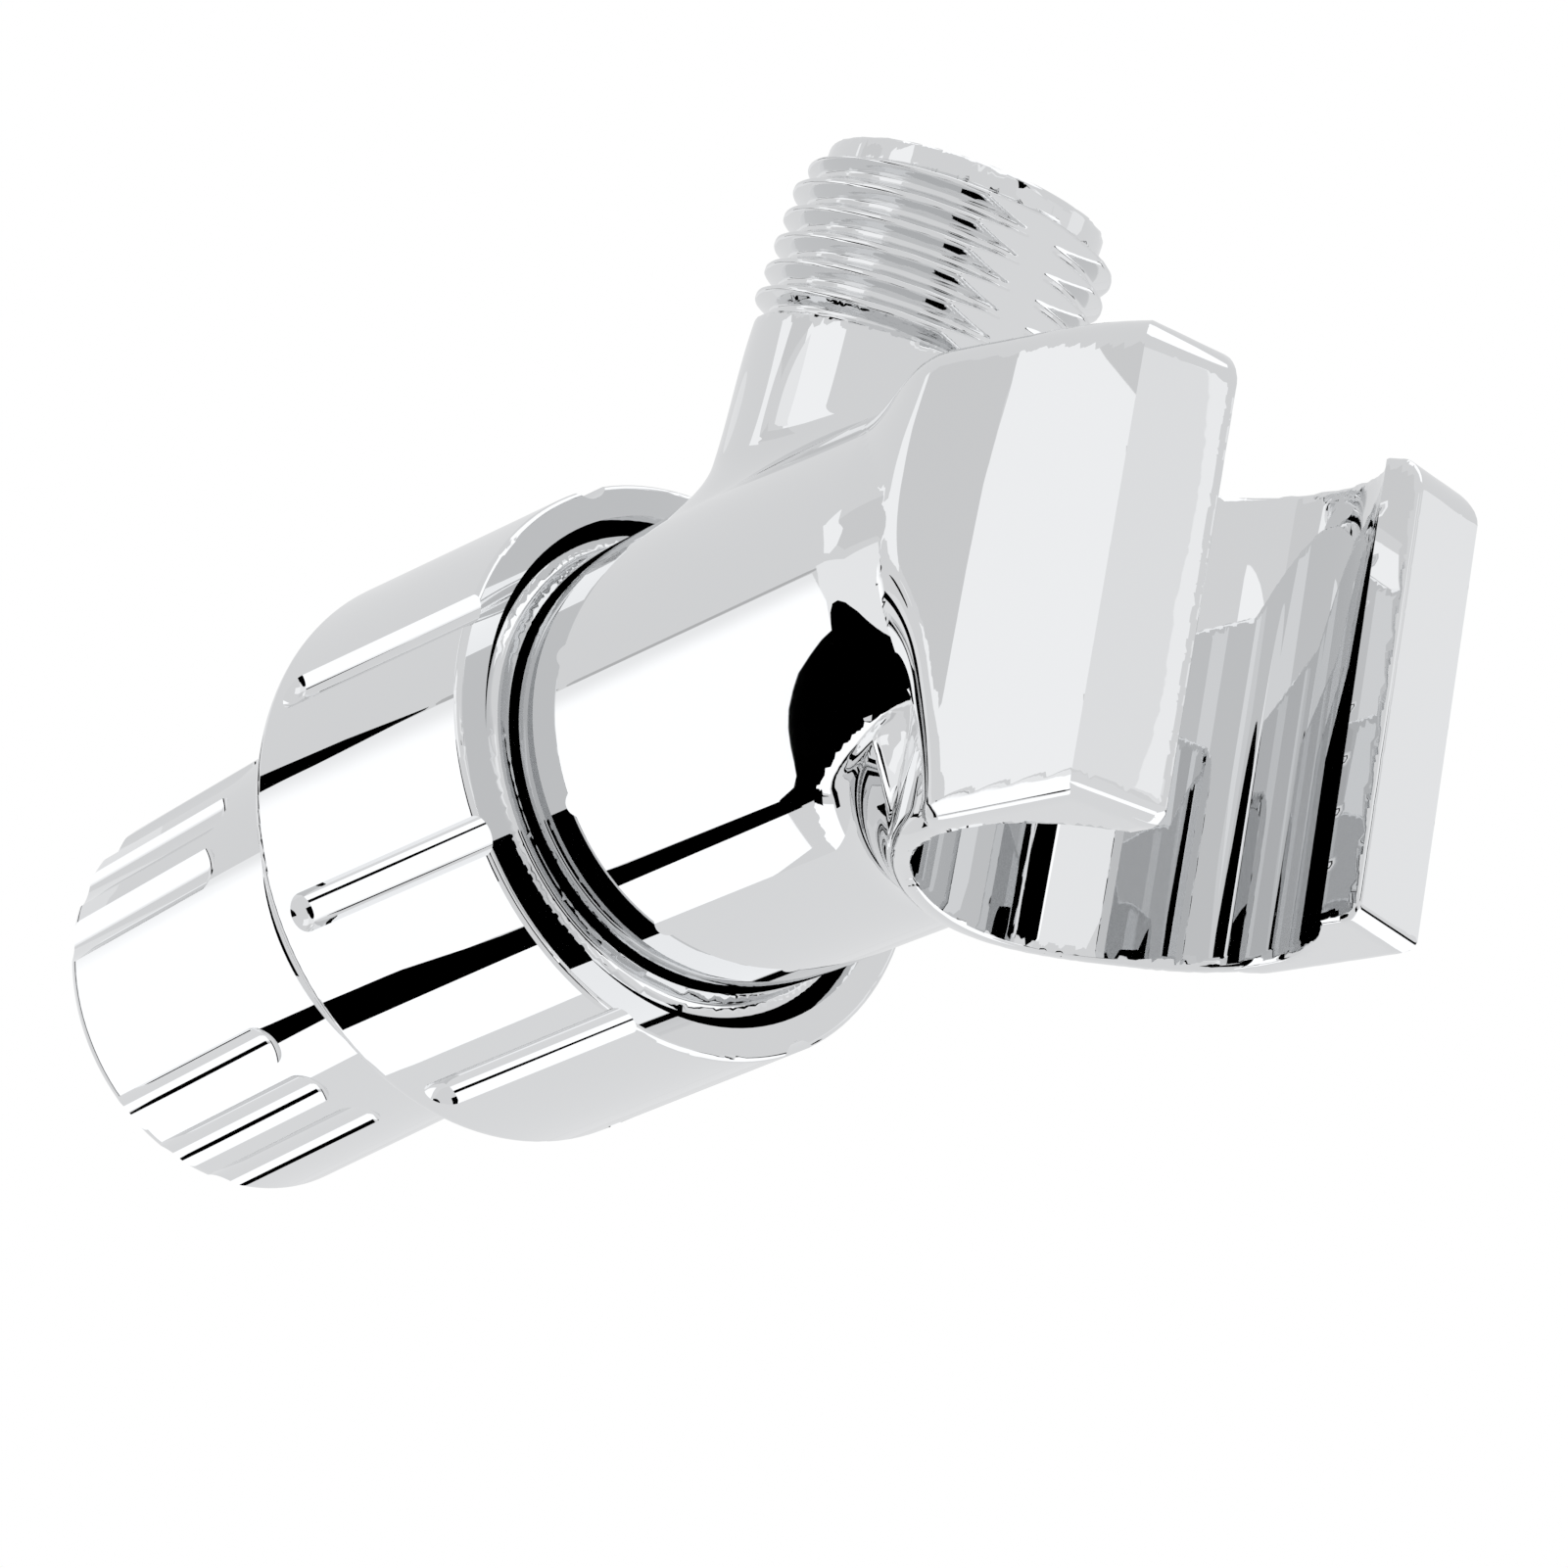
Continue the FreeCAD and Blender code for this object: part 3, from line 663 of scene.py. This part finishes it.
PANELS = [
    (LOW_CARD, PALE_GREY),
    (EVEN_CARD, PALE_GREY),
    (WALL_PANEL, WALL_TONE),
    (HOOD_GREY, HOOD_TONE),
    (FRONT_PANEL, BAND_LIGHT),
    (OBLIQUE_PANEL, OBLIQUE_TONE),
    (OBLIQUE_LIGHT, OBLIQUE_LIGHT_TONE),
    (FAR_PANEL, FAR_TONE),
    (RING_FLAG, DARK),
    (RING_WINDOW, OPEN),
    (FRONT_WINDOW, OPEN),
    (FRONT_FLAG, DARK),
    (TOP_WINDOW, OPEN),
    (FAR_WINDOW, OPEN),
    (FAR_FLAG, DARK),
    (REAR_FLAG, DARK),
    (NECK_PANEL, NECK_LIGHT),
    (SIDE_PANEL, SIDE_LIGHT),
    (SCOOP_BAND, BAND_LIGHT),
    (SIDE_WINDOW, SOFT),
    (LOW_WINDOW, OPEN),
    (GREY_LINE, LINE_GREY),
    (BLACK_FLAG, DARK),
    (BLACK_LINE, DARK),
    (BLACK_WEDGE, DARK),
]


def inside(outline, lean, turn):
    """Which places on the dome lie inside an outline."""
    within = np.zeros(lean.shape, bool)
    for (a0, t0), (a1, t1) in zip(outline, outline[1:] + outline[:1]):
        if t0 == t1:
            continue
        crosses = (turn < t0) != (turn < t1)
        within ^= crosses & (lean < a0 + (turn - t0) * (a1 - a0) / (t1 - t0))
    return within


def edge_distance(outline, lean, turn):
    """Degrees from a panel's edge, more than 0 inside the panel."""
    nearest = np.full(lean.shape, np.inf)
    for (a0, t0), (a1, t1) in zip(outline, outline[1:] + outline[:1]):
        run_a, run_t = a1 - a0, t1 - t0
        part = ((lean - a0) * run_a + (turn - t0) * run_t) / (run_a * run_a + run_t * run_t)
        part = np.clip(part, 0.0, 1.0)
        nearest = np.minimum(nearest, np.hypot(lean - a0 - part * run_a, turn - t0 - part * run_t))
    return np.where(inside(outline, lean, turn), nearest, -nearest)


def window_rise(turn):
    """Brightness of the side window, which fades towards its upper edge."""
    return SOFT_LOW + SOFT_RISE * eased(*SOFT_SPAN, turn)


def read_attribute(tree, name):
    """The value that a mesh carries under a name."""
    source = tree.nodes.new("ShaderNodeAttribute")
    source.attribute_name = name
    return source.outputs["Fac"]


def add_panel(tree, tone, name, level):
    """Brightness of the card with one more panel on it, sharp along the panel's edge."""
    within = tree.nodes.new("ShaderNodeMath")
    within.operation = "GREATER_THAN"
    within.inputs[1].default_value = 0.0
    tree.links.new(read_attribute(tree, name), within.inputs[0])
    mix = tree.nodes.new("ShaderNodeMix")
    mix.data_type = "FLOAT"
    tree.links.new(within.outputs[0], mix.inputs[0])
    if tone is None:
        mix.inputs[2].default_value = GREY
    else:
        tree.links.new(tone, mix.inputs[2])
    if level == SOFT:
        tree.links.new(read_attribute(tree, "window_rise"), mix.inputs[3])
    else:
        mix.inputs[3].default_value = level
    return mix.outputs[0]


def dome_material():
    """Grey card with the panels, whose edges the mesh carries. It only shows in reflections."""
    material = bpy.data.materials.new("grey_card")
    material.use_nodes = True
    tree = material.node_tree
    tree.nodes.clear()
    tone = None
    for index, (unused, level) in enumerate(PANELS):
        tone = add_panel(tree, tone, "panel_%d" % index, level)
    output = tree.nodes.new("ShaderNodeOutputMaterial")
    glow = tree.nodes.new("ShaderNodeEmission")
    glow.inputs["Color"].default_value = CARD_COLOUR
    gain = tree.nodes.new("ShaderNodeMath")
    gain.operation = "MULTIPLY"
    gain.inputs[1].default_value = CARD_GAIN
    tree.links.new(tone, gain.inputs[0])
    tree.links.new(gain.outputs[0], glow.inputs["Strength"])
    tree.links.new(glow.outputs[0], output.inputs["Surface"])
    material.cycles.emission_sampling = "NONE"
    return material


def make_dome():
    """The dome's mesh about the nut's face, with a value on it for each panel's edge."""
    first, last = FINE_LEANS
    leans = np.concatenate([np.arange(0, first, LEAN_STEP), np.arange(first, last, FINE_LEAN_STEP),
                            np.arange(last, 180 + LEAN_STEP, LEAN_STEP)])
    turns = np.arange(0.0, 360.0, TURN_STEP)
    lean, turn = np.meshgrid(leans, turns, indexing="ij")
    a, t = np.radians(lean), np.radians(turn)
    places = np.stack([np.cos(a), np.sin(a) * np.cos(t), np.sin(a) * np.sin(t)], axis=-1) * DOME_R
    places = places.reshape(-1, 3) + np.array(NUT_FACE)
    rows, columns = lean.shape
    row, column = np.meshgrid(np.arange(rows - 1), np.arange(columns), indexing="ij")
    after = (column + 1) % columns
    quads = np.stack([row * columns + column, row * columns + after,
                      (row + 1) * columns + after, (row + 1) * columns + column], axis=-1).reshape(-1, 4)
    mesh = bpy.data.meshes.new("studio_dome")
    mesh.from_pydata(places.tolist(), [], quads.tolist())
    values = {"window_rise": window_rise(turn)}
    for index, (outline, unused) in enumerate(PANELS):
        values["panel_%d" % index] = edge_distance(outline, lean, turn)
    for name, value in values.items():
        carried = mesh.attributes.new(name, "FLOAT", "POINT")
        carried.data.foreach_set("value", value.reshape(-1).astype(np.float32))
    mesh.materials.append(dome_material())
    dome = bpy.data.objects.new("studio_dome", mesh)
    bpy.context.scene.collection.objects.link(dome)
    dome.visible_camera = False
    dome.visible_diffuse = False
    dome.visible_shadow = False
    dome.visible_transmission = False


def make_lamp(name, place, target, size, power):
    """A square lamp that shows in no reflection."""
    lamp = bpy.data.lights.new(name, "AREA")
    lamp.size = size
    lamp.energy = power
    item = bpy.data.objects.new(name, lamp)
    bpy.context.scene.collection.objects.link(item)
    item.location = place
    item.rotation_euler = (Vector(target) - Vector(place)).to_track_quat("-Z", "Y").to_euler()
    item.visible_glossy = False


def make_camera():
    """The camera that matches the photo."""
    camera = bpy.data.cameras.new("camera")
    camera.lens = CAMERA_LENS
    camera.sensor_fit = "HORIZONTAL"
    camera.sensor_width = CAMERA_SENSOR
    camera.clip_start, camera.clip_end = CAMERA_REACH
    item = bpy.data.objects.new("camera", camera)
    bpy.context.scene.collection.objects.link(item)
    right, down, ahead = Vector(CAMERA_RIGHT), Vector(CAMERA_DOWN), Vector(CAMERA_AHEAD)
    turn = Matrix((right, -down, -ahead)).transposed().to_4x4()
    item.matrix_world = Matrix.Translation(CAMERA_PLACE) @ turn
    bpy.context.scene.camera = item


make_world()
make_floor()
make_dome()
make_lamp("key_lamp", (-0.35, -0.45, 0.75), (0.05, 0, 0), 0.5, 9.0)
make_camera()
bpy.context.scene.view_settings.view_transform = "Standard"
